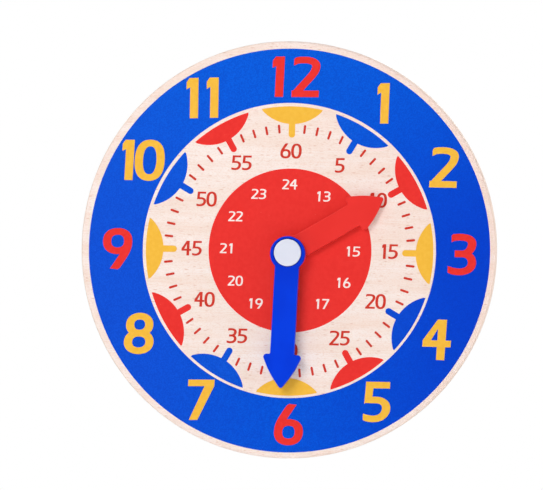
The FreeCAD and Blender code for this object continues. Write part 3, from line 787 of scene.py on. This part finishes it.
def hub_painted_shade(plastic, colour):
    """Painted shade: the blue is painted darker round the hub, and dark in the narrow seam round
    the cap, where shade falls.
    """
    radius = plastic.length(plastic.join(plastic.x, 0.0, plastic.z))
    colour = plastic.blend(plastic.rise(radius, HUB_SHADE_TO, CUP_RADIUS)*0.7, colour, paint(0, 50, 206))
    # Painted shade in the narrow seam round the cap.
    seam_painted_shade = plastic.rise(radius, CAP_RADIUS + SHADED_SEAM_WIDTH, CAP_RADIUS + SHADED_SEAM_WIDTH/4)
    return plastic.blend(seam_painted_shade*0.7, colour, paint(0, 32, 140))


# The blue gets painted shade round the hub and in the seam round the cap.
coat("minute_hand", make_moulded(
    "hand_blue", paint(0, 62, 228), paint(0, 57, 219),
    grain=0.5, texture=0.004, roughness=0.35, specular=0.08, painted_shade=hub_painted_shade))

# ------------------------------------------------------------------ hub cap
# A slightly domed cap moulded in pale lilac-white plastic. It snaps into the minute hand's cup
# and hides the screw.

coat("hub_cap", make_moulded(
    "cap_pale", paint(230, 232, 245), paint(224, 227, 241),
    grain=0.5, texture=0.004, roughness=0.3, specular=0.3))

# ------------------------------------------------------------------ studio
# A plain pale floor well below the hanging clock, a soft lamp at the upper left, weaker ones
# in front, at the right and behind, and a white surround, dimmer in front, that lights the
# shadows.


class Surround(Finish):
    """The world's nodes, mixed in the same way."""

    def __init__(self, name):
        self.world = bpy.data.worlds.new(name)
        self.world.use_nodes = True
        self.tree = self.world.node_tree


def ray_kind(finish, kind):
    """1 for rays of this kind, and 0 for others."""
    return finish.node("ShaderNodeLightPath", {}, {}, kind)


surround = Surround("white_surround")
rearward = surround.split(surround.node("ShaderNodeTexCoord", {}, {}, "Generated"))[1]
seen = surround.node("ShaderNodeMath", {"operation": "MAXIMUM"}, {
    0: ray_kind(surround, "Is Camera Ray"), 1: ray_kind(surround, "Is Transmission Ray")})
mirrored = ray_kind(surround, "Is Glossy Ray")
light_level = surround.rise(rearward, -0.5, 0.0)*0.55 + 0.1
mirror_level = surround.rise(rearward, -0.95, -0.45)*0.8 + 0.2
level = light_level + seen*(1.0 - light_level)
background = surround.tree.nodes["Background"]
background.inputs["Color"].default_value = (1, 1, 1, 1)
feed(surround.tree, background.inputs["Strength"], level + mirrored*(mirror_level - level))
bpy.context.scene.world = surround.world

FLOOR_DROP = 350.0
FLOOR_RADIUS = 1500.0
FLOOR_SIDES = 64
floor_paper = Finish("floor_paper", Roughness=0.9, Specular_IOR_Level=0.1, Emission_Strength=1.0)
from_middle = floor_paper.length(floor_paper.join(floor_paper.x, floor_paper.y, 0.0))/FLOOR_RADIUS
distant = floor_paper.rise(from_middle, 0.2, 0.95)
seen_floor = ray_kind(floor_paper, "Is Camera Ray")
glow = seen_floor*(0.3 + distant*0.7)
floor_paper.show(
    Base_Color=floor_paper.blend(seen_floor*distant, paint(246, 246, 246), paint(0, 0, 0)),
    Emission_Color=floor_paper.join(glow, glow, glow),
)
rim = np.insert(arc((0, 0), FLOOR_RADIUS, 0, 360, FLOOR_SIDES)[:-1], 2, -FLOOR_DROP, axis=1)
floor = piece("floor", rim, [tuple(range(FLOOR_SIDES))], floor_paper)


def direction(azimuth, elevation):
    """The way to a point in degrees round to the right of the front and up from level."""
    right, up = math.radians(azimuth), math.radians(elevation)
    return Vector((math.sin(right)*math.cos(up), -math.cos(right)*math.cos(up), math.sin(up)))


def lamp(name, share, size, azimuth, elevation, distance, facing=(0, -1, 0)):
    """A square lamp, size metres wide, at a distance in metres. Its share is how bright it
    makes a white sheet that faces the way given, where 1 is full white. Its power is the share
    times the square of pi times the distance, over the cosine of the angle at which the light
    falls on the sheet."""
    back = direction(azimuth, elevation)
    light = bpy.data.lights.new(name, "AREA")
    light.energy = share*(math.pi*distance)**2/back.dot(Vector(facing))
    light.size = size
    made = bpy.data.objects.new(name, light)
    bpy.context.scene.collection.objects.link(made)
    made.location = back*distance
    made.rotation_euler = back.to_track_quat("Z", "Y").to_euler()
    made.visible_camera = False
    return made


lamp("key_lamp", 0.385, 0.5, -22, 24, 1.0)
lamp("front_lamp", 0.19, 0.2, 6, 2, 1.5).visible_glossy = False
lamp("side_lamp", 0.24, 0.5, 80, 10, 1.0, facing=(1, 0, 0))
lamp("rear_lamp", 0.2, 0.6, 160, 30, 1.2, facing=(0, 1, 0))

# ------------------------------------------------------------------ camera
# A camera whose very long lens keeps the dial's circles almost round. It stands some metres
# away, a little to the right of the dial and just below its axis, and is rolled a little.

IMAGE_WIDTH = 543
IMAGE_HEIGHT = 490
CENTRE_PIXEL = (289.16, 250.51)
PIXELS_PER_MM = 2.0867
LENS = 800.0
SENSOR = 36.0
AZIMUTH = 6.75
ELEVATION = -0.69
ROLL = 1.2

camera = bpy.data.cameras.new("camera")
camera.lens = LENS
camera.sensor_width = SENSOR
viewer = bpy.data.objects.new("camera", camera)
bpy.context.scene.collection.objects.link(viewer)
bpy.context.scene.camera = viewer

# The distance gives the dial its scale, and the shift puts the print's centre on its pixel.
distance = LENS/SENSOR*IMAGE_WIDTH/PIXELS_PER_MM
facing_dial = direction(AZIMUTH, ELEVATION).to_track_quat("Z", "Y").to_matrix()
turn = facing_dial @ Matrix.Rotation(math.radians(ROLL), 3, "Z")
shift = turn @ Vector((
    (IMAGE_WIDTH/2 - CENTRE_PIXEL[0])/PIXELS_PER_MM,
    (CENTRE_PIXEL[1] - IMAGE_HEIGHT/2)/PIXELS_PER_MM,
    distance,
))
aim = Vector((PRINT_CENTRE[0], BOARD_FACE, PRINT_CENTRE[1]))
viewer.matrix_world = Matrix.LocRotScale((aim + shift)*MM, turn.to_quaternion(), None)

bpy.context.scene.view_settings.view_transform = "Standard"
